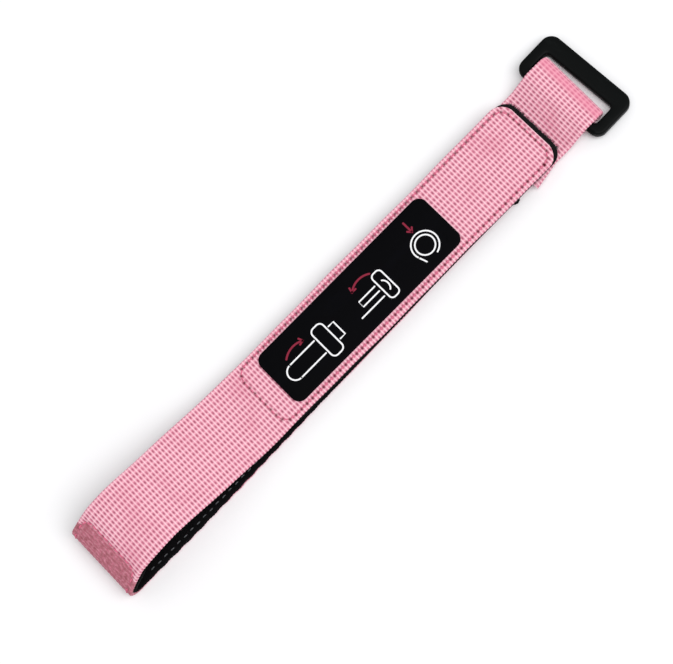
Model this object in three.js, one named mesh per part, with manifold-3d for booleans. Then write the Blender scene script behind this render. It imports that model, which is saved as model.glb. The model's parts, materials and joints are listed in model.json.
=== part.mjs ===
// Hook-and-loop cinch strap, folded over on itself with a moulded ring at one end.
// Units are millimetres. +X runs from the fold to the ring, +Y across the strap, +Z up.
// The strap lies on a surface at z = 0, and the origin is under the middle of its length.

import * as THREE from 'three';
import { mergeVertices } from 'three/addons/utils/BufferGeometryUtils.js';
import Module from 'manifold-3d';

const wasm = await Module();
wasm.setup();

// ---- Driving dimensions ------------------------------------------------------------------

const foldedLength = 208;
const webbing = { width: 25, thickness: 1.3 };
const loopTape = { width: 25.4, thickness: 1.6, end: 168 };
const hookTape = { width: 25.2, thickness: 1.1, start: 67, end: 182.7, cornerRadius: 5 };
const tipEnd = 181.3;
const tipCornerRadius = 5;
const label = { start: 75, length: 69.2, width: 19.4, thickness: 0.6, cornerRadius: 3 };
const thread = { width: 0.5, height: 0.22, inset: 1.6 };

const layerGap = 0.1;             // between layers that are sewn together
const pileGap = 0.35;             // where the hooks sit in the loops
const cutGap = 0.15;              // each side of a bend line, between rigid stretches

// Stack of layers where the strap is closed, from the surface up.
const loopBottom = webbing.thickness + layerGap;
const loopTop = loopBottom + loopTape.thickness;
const hookBottom = loopTop + pileGap;
const tipBottom = hookBottom + hookTape.thickness + layerGap;
const stackTop = tipBottom + webbing.thickness;

// The fold, as the run of the webbing's outer face: each turn is in degrees.
const curlRadius = 4;
const curlTurn = 134;
const rise = { length: 9, turn: 15 };
const crease = { length: 2.2, turn: 18 };
const crown = { length: 14, turn: 25 };
const landing = { length: 12, turn: 12 };

// The ring and the webbing eye that holds it.
const ring = {
  width: 33.5,
  innerWidth: 26,
  thickness: 3,
  nearEdge: -1.7,                 // measured from the axis of the round bar
  farEdge: 14.6,
  farBarInner: 8.8,
  barDiameter: 3,
  cornerRadius: 3.6,
  bevel: 0.6,
  yaw: 3,                         // a loose ring sits a little askew
};
const ringAxis = 193;             // from the fold to the round bar's axis
const eye = { height: 6.1, rightEdge: 200.3 };
const eyeStart = 169;             // where the lower leg becomes the eye
const curlMargin = 1;             // how far before its bend the curl begins
const foldBack = { start: 170, rampStart: 183.4, rampAngle: 25, rampCurve: 2.5 };

const colours = {
  webbing: 0xf6b4c6,
  tape: 0x0c0c0e,
  ring: 0x0f1515,
  label: 0x050508,
  pinkThread: 0xe07f98,
  blackThread: 0x1a1a1c,
};

// ---- The run of the webbing's outer face ---------------------------------------------------

const radians = THREE.MathUtils.degToRad;

// Lays out spans of constant bend from a starting point. Headings are in the XZ plane, and a
// negative turn bends towards the inner face.
function layOut(start, heading, spans) {
  const laid = [];
  let { x, z } = start;
  let angle = radians(heading);
  let distance = 0;
  for (const span of spans) {
    const turn = radians(span.turn);
    laid.push({ ...span, x, z, angle, from: distance, turnBy: turn });
    const chord = Math.abs(turn) < 1e-9 ? span.length : 2 * span.length / turn * Math.sin(turn / 2);
    x += chord * Math.cos(angle + turn / 2);
    z += chord * Math.sin(angle + turn / 2);
    angle += turn;
    distance += span.length;
  }
  return laid;
}

// The point at a distance along the run, at a depth below the outer face.
function pointAt(run, distance, depth) {
  const span = run.findLast((item) => item.from <= distance + 1e-9) ?? run[0];
  const along = distance - span.from;
  const turn = span.turnBy * along / span.length;
  const chord = Math.abs(turn) < 1e-9 ? along : 2 * along / turn * Math.sin(turn / 2);
  const angle = span.angle + turn;
  const x = span.x + chord * Math.cos(span.angle + turn / 2);
  const z = span.z + chord * Math.sin(span.angle + turn / 2);
  return { x: x + depth * Math.sin(angle), z: z - depth * Math.cos(angle), angle };
}

const rampHeight = eye.height - 2 * webbing.thickness - layerGap;
const rampCurveRadius = foldBack.rampCurve / radians(foldBack.rampAngle);
const rampCurveHeight = rampCurveRadius * (1 - Math.cos(radians(foldBack.rampAngle)));
const rampCurveReach = rampCurveRadius * Math.sin(radians(foldBack.rampAngle));
const rampStraight = (rampHeight - 2 * rampCurveHeight) / Math.sin(radians(foldBack.rampAngle));
const rampReach = 2 * rampCurveReach + rampStraight * Math.cos(radians(foldBack.rampAngle));
const eyeRadius = eye.height / 2;
const overBar = eye.rightEdge - eyeRadius - foldBack.rampStart - rampReach;
const lowerLegLength = eye.rightEdge - eyeRadius - curlRadius;

const lowerSpans = [
  { name: 'foldBack', length: foldBack.rampStart - foldBack.start, turn: 0 },
  { name: 'rampFoot', length: foldBack.rampCurve, turn: foldBack.rampAngle },
  { name: 'ramp', length: rampStraight, turn: 0 },
  { name: 'rampHead', length: foldBack.rampCurve, turn: -foldBack.rampAngle },
  { name: 'overBar', length: overBar, turn: 0 },
  { name: 'eyeFold', length: Math.PI * eyeRadius, turn: -180 },
  { name: 'lowerLeg', length: lowerLegLength, turn: 0 },
];
const foldSpans = [
  { name: 'curl', length: curlRadius * radians(curlTurn), turn: -curlTurn },
  { name: 'rise', length: rise.length, turn: -rise.turn },
  { name: 'crease', length: crease.length, turn: -crease.turn },
  { name: 'crown', length: crown.length, turn: -crown.turn },
];

// The straight slope behind the crown is as long as it takes to land on the closed stack.
const foldBackTop = 2 * webbing.thickness + layerGap;
const runStart = { x: foldBack.start, z: foldBackTop };
const trial = layOut(runStart, 0, [...lowerSpans, ...foldSpans, { length: 1, turn: 0 }]);
const crownEnd = trial[trial.length - 1];
const landingRadius = landing.length / radians(landing.turn);
const landingDrop = landingRadius * (1 - Math.cos(radians(landing.turn)));
const slopeLength = (crownEnd.z - stackTop - landingDrop) / Math.sin(radians(landing.turn));

const run = layOut(runStart, 0, [
  ...lowerSpans,
  ...foldSpans,
  { name: 'slope', length: slopeLength, turn: 0 },
  { name: 'landing', length: landing.length, turn: landing.turn },
  { name: 'tip', length: 1, turn: 0 },
]);
const spanNamed = (name) => run.find((item) => item.name === name);
const middleOf = (name) => spanNamed(name).from + spanNamed(name).length / 2;

// Bend lines along the run, from the lower leg to the tip.
const bends = [middleOf('curl'), middleOf('crease'), middleOf('landing'), spanNamed('tip').from];
const peelLine = pointAt(run, spanNamed('tip').from, 0).x;

// ---- Shapes ---------------------------------------------------------------------------------

// A stretch of a layer that follows the run, from one distance to another.
function ribbon(from, to, outerDepth, innerDepth, width) {
  const distances = [from];
  for (const span of run) {
    const pieces = Math.max(1, Math.round(Math.abs(span.turn) / 9));
    for (let i = 0; i <= pieces; i += 1) {
      const distance = span.from + span.length * i / pieces;
      if (distance > from + 0.05 && distance < to - 0.05) distances.push(distance);
    }
  }
  distances.push(to);
  const unique = distances.filter((value, i) => i === 0 || value - distances[i - 1] > 1e-6);
  const outer = unique.map((distance) => pointAt(run, distance, outerDepth));
  const inner = unique.map((distance) => pointAt(run, distance, innerDepth)).reverse();
  const outline = new THREE.Shape([...outer, ...inner].map((p) => new THREE.Vector2(p.x, p.z)));
  const geometry = new THREE.ExtrudeGeometry(outline, { depth: width, bevelEnabled: false });
  geometry.rotateX(Math.PI / 2);
  geometry.translate(0, width / 2, 0);
  return geometry;
}

// A rectangle in the XY plane with its own radius at the low and high ends, which may be 0.
function roundedOutline(path, x0, x1, halfWidth, lowRadius, highRadius) {
  const corners = [
    { x: x1, y: -halfWidth, radius: highRadius, towards: [-1, 1] },
    { x: x1, y: halfWidth, radius: highRadius, towards: [-1, -1] },
    { x: x0, y: halfWidth, radius: lowRadius, towards: [1, -1] },
    { x: x0, y: -halfWidth, radius: lowRadius, towards: [1, 1] },
  ];
  path.moveTo(x0 + lowRadius, -halfWidth);
  corners.forEach(({ x, y, radius, towards }, i) => {
    const start = (i - 1) * Math.PI / 2;
    const centreX = x + towards[0] * radius;
    const centreY = y + towards[1] * radius;
    if (radius === 0) {
      path.lineTo(x, y);
    } else {
      path.lineTo(centreX + radius * Math.cos(start), centreY + radius * Math.sin(start));
      path.absarc(centreX, centreY, radius, start, start + Math.PI / 2, false);
    }
  });
  return path;
}

// A flat layer with rounded corners, from one height to another.
function plate(x0, x1, width, lowRadius, highRadius, bottom, top) {
  const outline = roundedOutline(new THREE.Shape(), x0, x1, width / 2, lowRadius, highRadius);
  const options = { depth: top - bottom, bevelEnabled: false, curveSegments: 8 };
  const geometry = new THREE.ExtrudeGeometry(outline, options);
  geometry.translate(0, 0, bottom);
  return geometry;
}

// A closed line of thread laid round a rectangle.
function seamFrame(x0, x1, width, radius, bottom) {
  const outline = roundedOutline(new THREE.Shape(), x0, x1, width / 2, radius, radius);
  const inside = radius - thread.width;
  const hole = roundedOutline(new THREE.Path(), x0 + thread.width, x1 - thread.width,
    width / 2 - thread.width, inside, inside);
  outline.holes.push(hole);
  const options = { depth: thread.height, bevelEnabled: false, curveSegments: 6 };
  const geometry = new THREE.ExtrudeGeometry(outline, options);
  geometry.translate(0, 0, bottom);
  return geometry;
}

// A straight line of thread along the strap.
function seamLine(x0, x1, y, bottom) {
  const geometry = new THREE.BoxGeometry(x1 - x0, thread.width, thread.height);
  geometry.translate((x0 + x1) / 2, y, bottom + thread.height / 2);
  return geometry;
}

// ---- Solids ---------------------------------------------------------------------------------

function toSolid(source) {
  const geometry = source.index ? source.toNonIndexed() : source.clone();
  geometry.deleteAttribute('normal');
  geometry.deleteAttribute('uv');
  const merged = mergeVertices(geometry, 1e-4);
  const mesh = new wasm.Mesh({
    numProp: 3,
    vertProperties: Float32Array.from(merged.attributes.position.array),
    triVerts: Uint32Array.from(merged.index.array),
  });
  return new wasm.Manifold(mesh);
}

function toGeometry(solid) {
  const mesh = solid.getMesh();
  const geometry = new THREE.BufferGeometry();
  geometry.setAttribute('position', new THREE.BufferAttribute(mesh.vertProperties, 3));
  geometry.setIndex(new THREE.BufferAttribute(mesh.triVerts, 1));
  const faceted = geometry.toNonIndexed();
  faceted.computeVertexNormals();
  return faceted;
}

// The moulded ring, with its round bar along Y through the origin.
function ringGeometry() {
  const outline = roundedOutline(new THREE.Shape(), ring.nearEdge + ring.bevel,
    ring.farEdge - ring.bevel, ring.width / 2 - ring.bevel,
    1.6, ring.cornerRadius - ring.bevel);
  const windowNear = ring.barDiameter / 2 - 0.4;
  const hole = roundedOutline(new THREE.Path(), windowNear - ring.bevel,
    ring.farBarInner + ring.bevel, ring.innerWidth / 2 + ring.bevel, 1.4, 1.4);
  outline.holes.push(hole);
  const frame = new THREE.ExtrudeGeometry(outline, {
    depth: ring.thickness - 2 * ring.bevel,
    bevelEnabled: true,
    bevelSize: ring.bevel,
    bevelThickness: ring.bevel,
    bevelSegments: 2,
    curveSegments: 6,
  });
  frame.translate(0, 0, ring.bevel - ring.thickness / 2);
  const squareBar = new THREE.BoxGeometry(6, ring.innerWidth, ring.thickness + 2);
  squareBar.translate(windowNear + 0.3 - 3, 0, 0);
  const roundBar = new THREE.CylinderGeometry(
    ring.barDiameter / 2, ring.barDiameter / 2, ring.innerWidth + 2, 20);
  return toGeometry(toSolid(frame).subtract(toSolid(squareBar)).add(toSolid(roundBar)));
}

// ---- Assembly -------------------------------------------------------------------------------

const strap = new THREE.Group();
strap.position.x = -foldedLength / 2;

function material(colour, roughness) {
  return new THREE.MeshStandardMaterial({ color: colour, roughness, metalness: 0 });
}

function add(name, geometry, colour, roughness = 0.9, parent = strap) {
  const mesh = new THREE.Mesh(geometry, material(colour, roughness));
  mesh.name = name;
  parent.add(mesh);
  return mesh;
}

// Webbing: one length in the real strap, cut here at its bend lines and where the eye and the
// curl begin.
const legSpan = spanNamed('lowerLeg');
const distanceOnLeg = (x) => legSpan.from + eye.rightEdge - eyeRadius - x;
const curlStart = spanNamed('curl').from - curlMargin;
const cuts = [distanceOnLeg(eyeStart), curlStart, ...bends];
['eye', 'lower', 'curl', 'nose', 'slope', 'landing'].forEach((name, i) => {
  const from = i === 0 ? 0 : cuts[i - 1] + cutGap;
  const to = cuts[i] - cutGap;
  add(`webbing_${name}`, ribbon(from, to, 0, webbing.thickness, webbing.width), colours.webbing);
});
add('webbing_tip', plate(peelLine + cutGap, tipEnd, webbing.width, 0, tipCornerRadius,
  tipBottom, stackTop), colours.webbing);

// Loop tape: along the lower leg and round the fold, up to the crease.
const tapeDepth = webbing.thickness + layerGap;
const tapeDepthInside = tapeDepth + loopTape.thickness;
const tapeFrom = distanceOnLeg(loopTape.end);
const tapeTo = spanNamed('crease').from;
const tapeStretches = {
  lower: [tapeFrom, curlStart - cutGap],
  curl: [curlStart + cutGap, bends[0] - cutGap],
  nose: [bends[0] + cutGap, tapeTo],
};
for (const [name, [from, to]] of Object.entries(tapeStretches)) {
  const geometry = ribbon(from, to, tapeDepth, tapeDepthInside, loopTape.width);
  add(`loop_tape_${name}`, geometry, colours.tape, 1);
}
const tapeSeamY = loopTape.width / 2 - thread.inset;
for (const [side, y] of [['near', -tapeSeamY], ['far', tapeSeamY]]) {
  const line = seamLine(curlRadius + 4, loopTape.end - 1.5, y, loopTop + 0.05);
  add(`loop_tape_seam_${side}`, line, colours.blackThread);
}

// The seam round the end of the loop tape stands on the webbing's outer face: a line across it
// and a line round the nose on each side.
const threadBase = -0.05;
const endSeamDistance = tapeTo - 1.2;
add('loop_tape_end_seam', ribbon(endSeamDistance - thread.width / 2,
  endSeamDistance + thread.width / 2, threadBase - thread.height, threadBase,
  webbing.width - 2 * thread.inset), colours.pinkThread);
const noseSeamFrom = bends[0] + cutGap;
const noseSeamTo = endSeamDistance - thread.width;
const noseSeamY = webbing.width / 2 - thread.inset;
for (const [side, y] of [['near', -noseSeamY], ['far', noseSeamY]]) {
  const line = ribbon(noseSeamFrom, noseSeamTo, threadBase - thread.height, threadBase, thread.width);
  line.translate(0, y, 0);
  add(`nose_seam_${side}`, line, colours.pinkThread);
}

// Tip leg: hook tape under the webbing, its seam and the label patch on top.
add('hook_tape', plate(hookTape.start, hookTape.end, hookTape.width, 1.5,
  hookTape.cornerRadius, hookBottom, hookBottom + hookTape.thickness), colours.tape, 0.7);
add('hook_tape_seam', seamFrame(hookTape.start + 1.2, tipEnd - thread.inset,
  webbing.width - 2 * thread.inset, 3.6, stackTop + 0.05), colours.pinkThread);
add('label_patch', plate(label.start, label.start + label.length, label.width,
  label.cornerRadius, label.cornerRadius, stackTop + 0.05,
  stackTop + 0.05 + label.thickness), colours.label, 0.45);

// Eye: the box seam that closes the fold-back on the lower leg.
add('eye_seam', seamFrame(foldBack.start + 2, foldBack.rampStart - 3,
  webbing.width - 2 * thread.inset, 2, foldBackTop + 0.05), colours.pinkThread);

// Ring: turned a little in the eye, and tilted until its far bar lies on the surface.
const barHeight = eyeRadius;
const farBottom = ring.farEdge - ring.bevel;
const halfThickness = ring.thickness / 2;
const ringTilt = Math.asin(barHeight / Math.hypot(farBottom, halfThickness))
  - Math.atan2(halfThickness, farBottom);
const ringYaw = new THREE.Group();
ringYaw.position.set(ringAxis, 0, barHeight);
ringYaw.rotation.z = radians(ring.yaw);
strap.add(ringYaw);
const ringMesh = add('ring', ringGeometry(), colours.ring, 0.5, ringYaw);
ringMesh.rotation.y = ringTilt;

export default strap;
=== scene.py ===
"""Looks for the folded hook-and-loop cinch strap: woven webbing, pile, hooks, stitches, moulded
ring and printed label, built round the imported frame. Lengths are in millimetres until an object
is made, and the frame is in metres."""

import json
import math

import bmesh
import bpy
import numpy as np
from mathutils import Matrix, Vector


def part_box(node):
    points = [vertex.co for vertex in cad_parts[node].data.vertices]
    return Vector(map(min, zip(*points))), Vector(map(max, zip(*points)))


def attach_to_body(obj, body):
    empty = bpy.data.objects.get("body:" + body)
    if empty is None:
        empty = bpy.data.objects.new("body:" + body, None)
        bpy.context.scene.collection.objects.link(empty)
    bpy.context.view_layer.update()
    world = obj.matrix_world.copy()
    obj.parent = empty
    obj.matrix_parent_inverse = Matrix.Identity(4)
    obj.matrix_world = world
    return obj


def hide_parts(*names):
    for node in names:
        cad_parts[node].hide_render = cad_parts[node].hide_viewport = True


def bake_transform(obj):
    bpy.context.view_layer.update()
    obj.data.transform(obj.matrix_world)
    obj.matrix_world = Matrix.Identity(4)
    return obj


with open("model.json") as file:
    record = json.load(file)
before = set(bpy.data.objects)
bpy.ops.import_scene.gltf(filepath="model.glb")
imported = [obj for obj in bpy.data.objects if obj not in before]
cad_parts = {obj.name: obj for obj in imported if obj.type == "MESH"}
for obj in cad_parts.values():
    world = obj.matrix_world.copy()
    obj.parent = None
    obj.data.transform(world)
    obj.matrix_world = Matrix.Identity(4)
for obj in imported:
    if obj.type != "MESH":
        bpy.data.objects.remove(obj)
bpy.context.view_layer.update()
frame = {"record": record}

MM = 0.001
JOINTS = {joint["name"]: joint for joint in frame["record"]["behaviour"]["joints"]}


def low(node):
    """The lowest corner of a CAD node, in millimetres."""
    return np.array(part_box(node)[0]) / MM


def high(node):
    """The highest corner of a CAD node, in millimetres."""
    return np.array(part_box(node)[1]) / MM


# ---- Sizes ----

HALF_WIDTH = high("webbing_lower")[1]
WEBBING_THICKNESS = high("webbing_tip")[2] - low("webbing_tip")[2]
TAPE_GAP = low("loop_tape_lower")[2] - WEBBING_THICKNESS
LOOP_THICKNESS = 1.6
LOOP_TOP = low("loop_tape_lower")[2] + LOOP_THICKNESS
LOOP_HALF_WIDTH = high("loop_tape_lower")[1]
STACK_TOP = high("webbing_tip")[2]
HOOK_BOTTOM = low("hook_tape")[2]
HOOK_TOP = high("hook_tape")[2]
TIP_END = high("webbing_tip")[0]
TIP_RADIUS = 5.0
NOSE = low("webbing_nose")[0]

RIB_PITCH = 1.15          # ribs of the weave, along the strap
ROW_PITCH = 1.80          # rows of the weave, across it
RIB_HEIGHT = 0.14
PIT_DEPTH = 0.14
GROOVE_PITCH = 1.25       # shallow grooves where the weave is pressed flat at the nose
GROOVE_DEPTH = 0.10
EDGE_SCALLOP = 0.16       # how far the edge dips between ribs
DENT_DEPTH = 0.30         # round a needle hole
DENT_REACH = 1.6
DENT_SPREAD, HOLE_SPREAD = 0.36, 0.2       # in square millimetres
STITCH_PITCH = 2.3
BLACK_STITCH_PITCH = 2.7
STITCH_INSET = 1.6
EDGE_BAND = 1.5           # how far in from its edge the webbing's wander reaches
THREAD_RADIUS = 0.19

# The run of the webbing's outer face from the end of the fold-back to the tip. Each bend is a
# length and a turn in degrees.
CURL_RADIUS = 4.0
CURL_TURN = 134.0
RISE = (9.0, 15.0)
CREASE = (2.2, 18.0)
CROWN = (14.0, 25.0)
LANDING = (12.0, 12.0)
RAMP_ANGLE = 25.0
RAMP_CURVE = 2.5
PUCKER_LENGTH = 5.3
RAMP_START = NOSE + 183.4
EYE_CUT_TO_END = 0.85     # from the cut of the eye's lower layer to the sewn end over it
FOLD_BACK_START = low("webbing_eye")[0] + EYE_CUT_TO_END
EYE_HEIGHT = high("webbing_eye")[2]
EYE_RIGHT = high("webbing_eye")[0]


# ---- The run ----

class Run:
    """The webbing's outer face as spans of constant bend in the XZ plane. Depth is measured
    inwards from it, and a negative turn bends towards the inner face."""

    drift = pucker = pull = ((0, 0),)

    def __init__(self, start, spans):
        self.spans = []
        x, z = start
        angle = distance = 0.0
        for name, length, turn in spans:
            turn = math.radians(turn)
            self.spans.append((name, distance, length, turn, x, z, angle))
            chord = length * np.sinc(turn / 2 / math.pi)
            x += chord * math.cos(angle + turn / 2)
            z += chord * math.sin(angle + turn / 2)
            angle += turn
            distance += length
        self.end = (x, z)
        self.length = distance

    def start_of(self, name):
        return next(span[1] for span in self.spans if span[0] == name)

    def end_of(self, name):
        return next(span[1] + span[2] for span in self.spans if span[0] == name)

    def frame(self, s):
        """Position on the outer face and the heading, for an array of distances."""
        s = np.asarray(s, float)
        starts = np.array([span[1] for span in self.spans])
        index = np.clip(np.searchsorted(starts, s, side="right") - 1, 0, len(starts) - 1)
        table = np.array([span[1:] for span in self.spans])[index]
        begin, length, turn, x, z, angle = np.moveaxis(table, -1, 0)
        along = s - begin
        bend = turn * along / length
        chord = along * np.sinc(bend / 2 / math.pi)
        return (
            x + chord * np.cos(angle + bend / 2),
            z + chord * np.sin(angle + bend / 2),
            angle + bend,
        )

    def place(self, s, y, depth):
        """Points in space at a distance along, a place across and a depth."""
        x, z, angle = self.frame(s)
        x = x + depth * np.sin(angle)
        z = z - depth * np.cos(angle)
        y = np.broadcast_to(y, x.shape)
        near_share = np.clip(0.5 - y / (2 * HALF_WIDTH), 0, 1)
        y = y + near_share * np.interp(s, *zip(*self.drift))
        wave = np.sin(2 * math.pi * s / PUCKER_LENGTH)
        y = y + near_share * np.interp(s, *zip(*self.pucker)) * wave
        x = x + near_share * np.interp(s, *zip(*self.pull))
        return np.stack([x, y, z], -1)


def lay_out_run():
    ramp_radius = RAMP_CURVE / math.radians(RAMP_ANGLE)
    curve_height = ramp_radius * (1 - math.cos(math.radians(RAMP_ANGLE)))
    curve_reach = ramp_radius * math.sin(math.radians(RAMP_ANGLE))
    fold_back_top = 2 * WEBBING_THICKNESS + TAPE_GAP
    straight = EYE_HEIGHT - fold_back_top - 2 * curve_height
    straight /= math.sin(math.radians(RAMP_ANGLE))
    reach = 2 * curve_reach + straight * math.cos(math.radians(RAMP_ANGLE))
    eye_radius = EYE_HEIGHT / 2
    eye_centre = EYE_RIGHT - eye_radius
    spans = [
        ("fold_back", RAMP_START - FOLD_BACK_START, 0),
        ("ramp_foot", RAMP_CURVE, RAMP_ANGLE),
        ("ramp", straight, 0),
        ("ramp_head", RAMP_CURVE, -RAMP_ANGLE),
        ("over_bar", eye_centre - RAMP_START - reach, 0),
        ("eye_fold", math.pi * eye_radius, -180),
        ("lower_leg", eye_centre - NOSE - CURL_RADIUS, 0),
        ("curl", CURL_RADIUS * math.radians(CURL_TURN), -CURL_TURN),
        ("rise", RISE[0], -RISE[1]),
        ("crease", CREASE[0], -CREASE[1]),
        ("crown", CROWN[0], -CROWN[1]),
    ]
    start = (FOLD_BACK_START, fold_back_top)
    crown_height = Run(start, spans).end[1]
    landing_radius = LANDING[0] / math.radians(LANDING[1])
    landing_drop = landing_radius * (1 - math.cos(math.radians(LANDING[1])))
    slope = (crown_height - STACK_TOP - landing_drop) / math.sin(math.radians(LANDING[1]))
    spans += [("slope", slope, 0), ("landing", LANDING[0], LANDING[1])]
    landed = Run(start, spans).end[0]
    return Run(start, spans + [("tip", TIP_END - landed, 0)])


RUN = lay_out_run()
CURL_START = RUN.start_of("curl")
CURL_END = RUN.end_of("curl")
TIP_START = RUN.start_of("tip")
TIP_X = RUN.frame(TIP_START)[0]


def run_distance(x):
    """Distance along the run of a place on the flat tip leg."""
    return TIP_START + x - float(TIP_X)


def leg_distance(x):
    """Distance along the run of a place on the lower leg."""
    return CURL_START + NOSE + CURL_RADIUS - x


EYE_FOLD = RUN.start_of("eye_fold")
EYE_FOLD_END = RUN.end_of("eye_fold")

# The strap was folded a little askew. Each table gives a distance along the run and how far the
# near edge strays there, in millimetres across.
RUN.drift = (
    (0, -1.3),
    (9, 0.3),
    (RUN.start_of("over_bar"), 0.2),
    (EYE_FOLD, 0.1),
    (leg_distance(NOSE + 190), 1.1),
    (leg_distance(NOSE + 178), 1.3),
    (leg_distance(NOSE + 166), 1.2),
    (leg_distance(NOSE + 118), 0.4),
    (leg_distance(NOSE + 80), -0.2),
    (leg_distance(NOSE + 28), -1.25),
    (CURL_END, -1.2),
    (CURL_END + RISE[0], -0.5),
    (RUN.start_of("slope"), 0),
)
# How far its seam puckers, in short waves, and how far the ring pulls it back along X.
RUN.pucker = ((CURL_START - 90, 0), (CURL_START - 60, 0.1), (CURL_START - 8, 0.1), (CURL_START, 0))
RUN.pull = ((EYE_FOLD - 7, 0), (EYE_FOLD, -0.6), (EYE_FOLD_END, -0.6), (EYE_FOLD_END + 7, 0))

# Where the webbing is cut into pieces that each cross one joint at most.
EYE_CUT = leg_distance(NOSE + 160)
LEG_CUT = CURL_START - 8
NOSE_CUT = CURL_END + 1.0
SLOPE_CUT = RUN.start_of("slope") + 6
LANDING_CUT = run_distance(float(RUN.frame(RUN.end_of("landing"))[0])) - 2.6


# ---- Mesh and material helpers ----

def srgb(red, green, blue):
    """A display colour, 0 to 255, as the linear colour that shaders take."""
    values = np.array([red, green, blue]) / 255
    linear = np.where(values <= 0.04045, values / 12.92, ((values + 0.055) / 1.055) ** 2.4)
    return (*linear.tolist(), 1.0)


def make_object(name, points, faces, smooth=True):
    """A mesh object from points in millimetres and arrays of faces of one size each."""
    mesh = bpy.data.meshes.new(name)
    points = np.asarray(points, float).reshape(-1, 3) * MM
    mesh.vertices.add(len(points))
    mesh.vertices.foreach_set("co", points.ravel())
    sizes = np.concatenate([np.full(len(part), part.shape[1]) for part in faces])
    loops = np.concatenate([part.ravel() for part in faces])
    mesh.loops.add(len(loops))
    mesh.loops.foreach_set("vertex_index", loops.astype(np.int32))
    mesh.polygons.add(len(sizes))
    starts = np.concatenate([[0], np.cumsum(sizes)[:-1]])
    mesh.polygons.foreach_set("loop_start", starts.astype(np.int32))
    mesh.polygons.foreach_set("use_smooth", np.full(len(sizes), smooth))
    mesh.update(calc_edges=True)
    mesh.validate()
    obj = bpy.data.objects.new(name, mesh)
    bpy.context.scene.collection.objects.link(obj)
    return obj


def give_uv(obj, name, values):
    """Stores a pair of numbers per vertex as a UV map."""
    mesh = obj.data
    layer = mesh.uv_layers.new(name=name)
    index = np.empty(len(mesh.loops), np.int32)
    mesh.loops.foreach_get("vertex_index", index)
    layer.data.foreach_set("uv", values[index].astype(np.float32).ravel())


def give_value(obj, name, values):
    """Stores a number per vertex, which a material reads by its name."""
    attribute = obj.data.attributes.new(name, "FLOAT", "POINT")
    attribute.data.foreach_set("value", np.asarray(values, np.float32))


def tube_faces(rings, sides, closed_ends=True):
    """Faces of a tube of rings, each with the same number of sides."""
    i = np.arange(rings - 1)[:, None]
    j = np.arange(sides)[None, :]
    a = i * sides + j
    b = i * sides + (j + 1) % sides
    quads = np.stack([a, b, b + sides, a + sides], -1).reshape(-1, 4)
    faces = [quads]
    if closed_ends:
        last = (rings - 1) * sides
        faces.append(np.arange(sides)[::-1][None, :])
        faces.append((last + np.arange(sides))[None, :])
    return faces


def many(points, faces, copies):
    """Joins many tubes: copies holds one array of points for each."""
    count = points
    joined = []
    offsets = (np.arange(copies) * count)[:, None, None]
    for part in faces:
        joined.append((part[None] + offsets).reshape(-1, part.shape[1]))
    return joined


def tubes(centres, radius, sides):
    """Points and faces of tubes along many centre lines: centres is copies by rings by 3."""
    copies, rings, _ = centres.shape
    forward = np.gradient(centres, axis=1)
    forward /= np.linalg.norm(forward, axis=2, keepdims=True) + 1e-12
    hint = np.zeros_like(forward)
    hint[..., 1] = 1.0
    flip = np.abs(forward[..., 1:2]) > 0.9
    hint = np.where(flip, np.array([0.0, 0.0, 1.0]), hint)
    side = np.cross(forward, hint)
    side /= np.linalg.norm(side, axis=2, keepdims=True) + 1e-12
    up = np.cross(side, forward)
    angle = np.linspace(0, 2 * math.pi, sides, endpoint=False)
    ring = side[:, :, None] * np.cos(angle)[:, None] + up[:, :, None] * np.sin(angle)[:, None]
    radius = np.broadcast_to(radius, (copies, rings))[..., None, None]
    points = centres[:, :, None] + ring * radius
    faces = many(rings * sides, tube_faces(rings, sides), copies)
    return points.reshape(-1, 3), faces


class Shader:
    """A principled material with short calls for the nodes it uses."""

    def __init__(self, name, colour, roughness, **sockets):
        self.material = bpy.data.materials.new(name)
        self.material.use_nodes = True
        self.nodes = self.material.node_tree.nodes
        self.links = self.material.node_tree.links
        self.surface = self.nodes["Principled BSDF"]
        self.surface.inputs["Base Color"].default_value = colour
        self.surface.inputs["Roughness"].default_value = roughness
        for socket, value in sockets.items():
            self.surface.inputs[socket.replace("_", " ")].default_value = value

    def node(self, kind, inputs=(), **settings):
        """A new node. Each input is another node's output, or a value."""
        made = self.nodes.new(kind)
        for key, value in settings.items():
            setattr(made, key, value)
        for key, value in dict(inputs).items():
            if hasattr(value, "is_output"):
                self.links.new(value, made.inputs[key])
            else:
                made.inputs[key].default_value = value
        return made

    def math(self, operation, *values, clamp=False):
        inputs = dict(enumerate(values))
        return self.node("ShaderNodeMath", inputs, operation=operation, use_clamp=clamp).outputs[0]

    def excess(self, value, threshold, gain, clamp=False):
        """How far a value stands above a threshold, times a gain."""
        above = self.math("SUBTRACT", value, threshold, clamp=True)
        return self.math("MULTIPLY", above, gain, clamp=clamp)

    def mix(self, factor, first, second):
        """A colour between two others."""
        made = self.node("ShaderNodeMix", data_type="RGBA")
        for key, value in (("Factor_Float", factor), ("A_Color", first), ("B_Color", second)):
            socket = next(item for item in made.inputs if item.identifier == key)
            if hasattr(value, "is_output"):
                self.links.new(value, socket)
            else:
                socket.default_value = value
        return next(item for item in made.outputs if item.identifier == "Result_Color")

    def noise(self, vector, scale, detail=3.0, roughness=0.6):
        inputs = {"Vector": vector, "Scale": scale, "Detail": detail, "Roughness": roughness}
        return self.node("ShaderNodeTexNoise", inputs).outputs["Fac"]

    def stretch(self, vector, scale):
        return self.node("ShaderNodeMapping", {"Vector": vector, "Scale": scale}).outputs[0]

    def link(self, output, socket):
        self.links.new(output, self.surface.inputs[socket])

    def bump(self, height, strength, distance_mm):
        inputs = {"Height": height, "Strength": strength, "Distance": distance_mm * MM}
        self.link(self.node("ShaderNodeBump", inputs).outputs[0], "Normal")


# ---- Materials ----

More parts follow.
